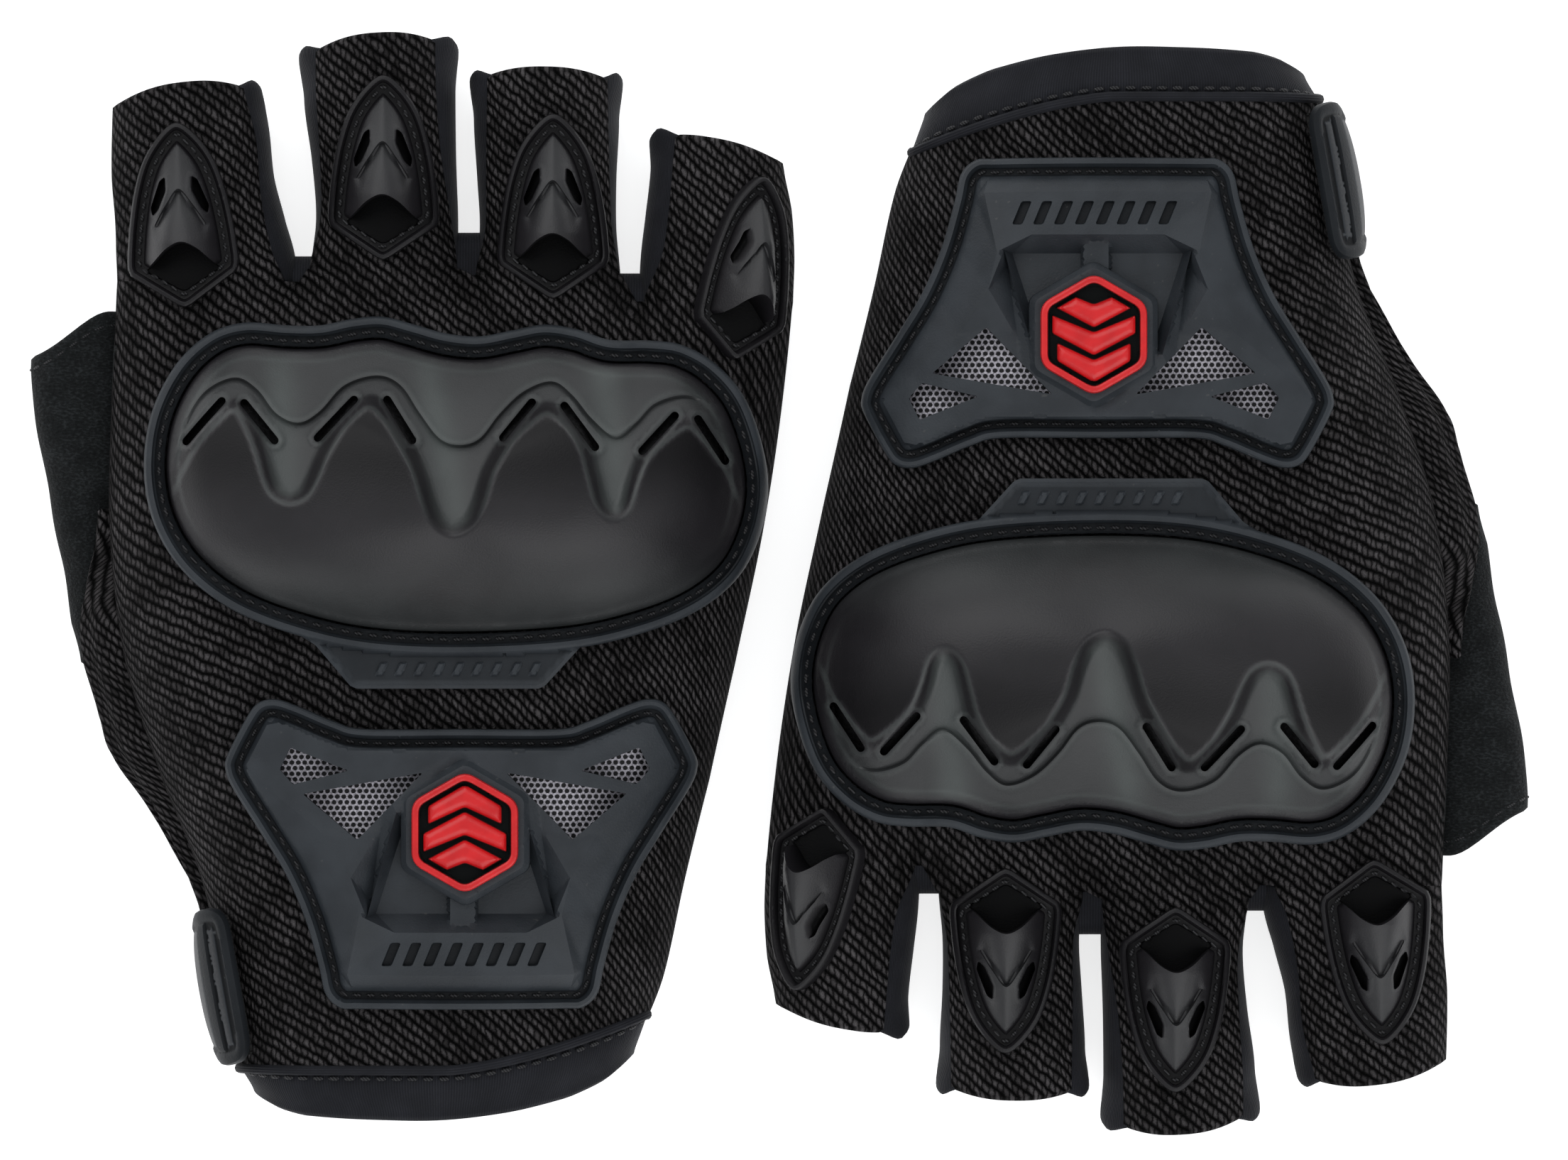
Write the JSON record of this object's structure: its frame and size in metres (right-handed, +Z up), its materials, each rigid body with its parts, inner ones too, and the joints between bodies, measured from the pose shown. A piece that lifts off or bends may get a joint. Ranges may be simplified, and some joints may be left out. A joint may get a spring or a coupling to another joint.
{
  "type": "riding gloves",
  "caption": "Half-finger motorcycle gloves with a knitted back, suede palm, moulded knuckle shell, wrist plate, finger guards and a peel-off wrist strap.",
  "frame": {"origin": "centre of the bounding box's base, on the surface that the gloves lie on", "axes": "+X across the pair from glove1 to glove2, +Y towards glove1's fingertips, +Z up through the backs of the hands"},
  "size_m": [0.2286, 0.1666, 0.043],
  "materials": {
    "knit": "coarse spacer knit, matt",
    "suede": "synthetic suede, matt",
    "lycra": "smooth stretch fabric",
    "hard_shell": "satin moulded plastic",
    "soft_rubber": "matt soft moulding",
    "red_badge": "semi-gloss",
    "grey_net": "fine net",
    "foam": "closed-cell foam",
    "webbing": "woven",
    "hook_and_loop": "fuzzy"
  },
  "bodies": {
    "glove1_hand": {"glove1_back_panel": "knit", "glove1_palm_panel": "suede", "glove1_cuff_band": "lycra", "glove1_thumb_gusset": "knit", "glove1_knuckle_shell": "hard_shell", "glove1_knuckle_rim": "soft_rubber", "glove1_knuckle_foam": "foam", "glove1_wrist_plate": "soft_rubber", "glove1_plate_mesh": "grey_net", "glove1_badge": "red_badge", "glove1_palm_strap": "webbing", "glove1_loop_patch": "hook_and_loop", "glove1_palm_pad": "suede", "glove1_grip_patch": "suede"},
    "glove1_index": {"glove1_index_back": "knit", "glove1_index_front": "suede", "glove1_index_guard": "hard_shell"},
    "glove1_middle": {"glove1_middle_back": "knit", "glove1_middle_front": "suede", "glove1_middle_guard": "hard_shell"},
    "glove1_ring": {"glove1_ring_back": "knit", "glove1_ring_front": "suede", "glove1_ring_guard": "hard_shell"},
    "glove1_little": {"glove1_little_back": "knit", "glove1_little_front": "suede", "glove1_little_guard": "hard_shell"},
    "glove1_thumb": {"glove1_thumb_sleeve": "suede"},
    "glove1_strap": {"glove1_strap_tab": "soft_rubber", "glove1_hook_patch": "hook_and_loop"},
    "glove2_hand": {"glove2_back_panel": "knit", "glove2_palm_panel": "suede", "glove2_cuff_band": "lycra", "glove2_thumb_gusset": "knit", "glove2_knuckle_shell": "hard_shell", "glove2_knuckle_rim": "soft_rubber", "glove2_knuckle_foam": "foam", "glove2_wrist_plate": "soft_rubber", "glove2_plate_mesh": "grey_net", "glove2_badge": "red_badge", "glove2_palm_strap": "webbing", "glove2_loop_patch": "hook_and_loop", "glove2_palm_pad": "suede", "glove2_grip_patch": "suede"},
    "glove2_index": {"glove2_index_back": "knit", "glove2_index_front": "suede", "glove2_index_guard": "hard_shell"},
    "glove2_middle": {"glove2_middle_back": "knit", "glove2_middle_front": "suede", "glove2_middle_guard": "hard_shell"},
    "glove2_ring": {"glove2_ring_back": "knit", "glove2_ring_front": "suede", "glove2_ring_guard": "hard_shell"},
    "glove2_little": {"glove2_little_back": "knit", "glove2_little_front": "suede", "glove2_little_guard": "hard_shell"},
    "glove2_thumb": {"glove2_thumb_sleeve": "suede"},
    "glove2_strap": {"glove2_strap_tab": "soft_rubber", "glove2_hook_patch": "hook_and_loop"}
  },
  "joints": [
    {"name": "glove1_index_flex", "type": "hinge", "parent": "glove1_hand", "child": "glove1_index", "pos_m": [-0.0876, 0.046, 0.004], "axis": [-1, 0, 0], "range_deg": [0, 70]},
    {"name": "glove1_middle_flex", "type": "hinge", "parent": "glove1_hand", "child": "glove1_middle", "pos_m": [-0.06045, 0.048, 0.004], "axis": [-1, 0, 0], "range_deg": [0, 70]},
    {"name": "glove1_ring_flex", "type": "hinge", "parent": "glove1_hand", "child": "glove1_ring", "pos_m": [-0.0354, 0.047, 0.004], "axis": [-1, 0, 0], "range_deg": [0, 70]},
    {"name": "glove1_little_flex", "type": "hinge", "parent": "glove1_hand", "child": "glove1_little", "pos_m": [-0.00985, 0.043, 0.004], "axis": [-1, 0, 0], "range_deg": [0, 70]},
    {"name": "glove1_thumb_swing", "type": "hinge", "parent": "glove1_hand", "child": "glove1_thumb", "pos_m": [-0.1073, -0.0064, 0.006], "axis": [0, 0, 1], "range_deg": [0, 40]},
    {"name": "glove1_strap_open", "type": "hinge", "parent": "glove1_hand", "child": "glove1_strap", "pos_m": [-0.08717, -0.06181, 0.003], "axis": [0.1736, -0.9848, 0], "range_deg": [0, 90]},
    {"name": "pair_lift", "type": "slide", "parent": "glove1_hand", "child": "glove2_hand", "axis": [0, 0, 1], "range_m": [0, 0.08]},
    {"name": "glove2_index_flex", "type": "hinge", "parent": "glove2_hand", "child": "glove2_index", "pos_m": [0.0876, -0.046, 0.004], "axis": [1, 0, 0], "range_deg": [0, 70]},
    {"name": "glove2_middle_flex", "type": "hinge", "parent": "glove2_hand", "child": "glove2_middle", "pos_m": [0.06045, -0.048, 0.004], "axis": [1, 0, 0], "range_deg": [0, 70]},
    {"name": "glove2_ring_flex", "type": "hinge", "parent": "glove2_hand", "child": "glove2_ring", "pos_m": [0.0354, -0.047, 0.004], "axis": [1, 0, 0], "range_deg": [0, 70]},
    {"name": "glove2_little_flex", "type": "hinge", "parent": "glove2_hand", "child": "glove2_little", "pos_m": [0.00985, -0.043, 0.004], "axis": [1, 0, 0], "range_deg": [0, 70]},
    {"name": "glove2_thumb_swing", "type": "hinge", "parent": "glove2_hand", "child": "glove2_thumb", "pos_m": [0.1073, 0.0064, 0.006], "axis": [0, 0, 1], "range_deg": [0, 40]},
    {"name": "glove2_strap_open", "type": "hinge", "parent": "glove2_hand", "child": "glove2_strap", "pos_m": [0.08717, 0.06181, 0.003], "axis": [-0.1736, 0.9848, 0], "range_deg": [0, 90]}
  ]
}
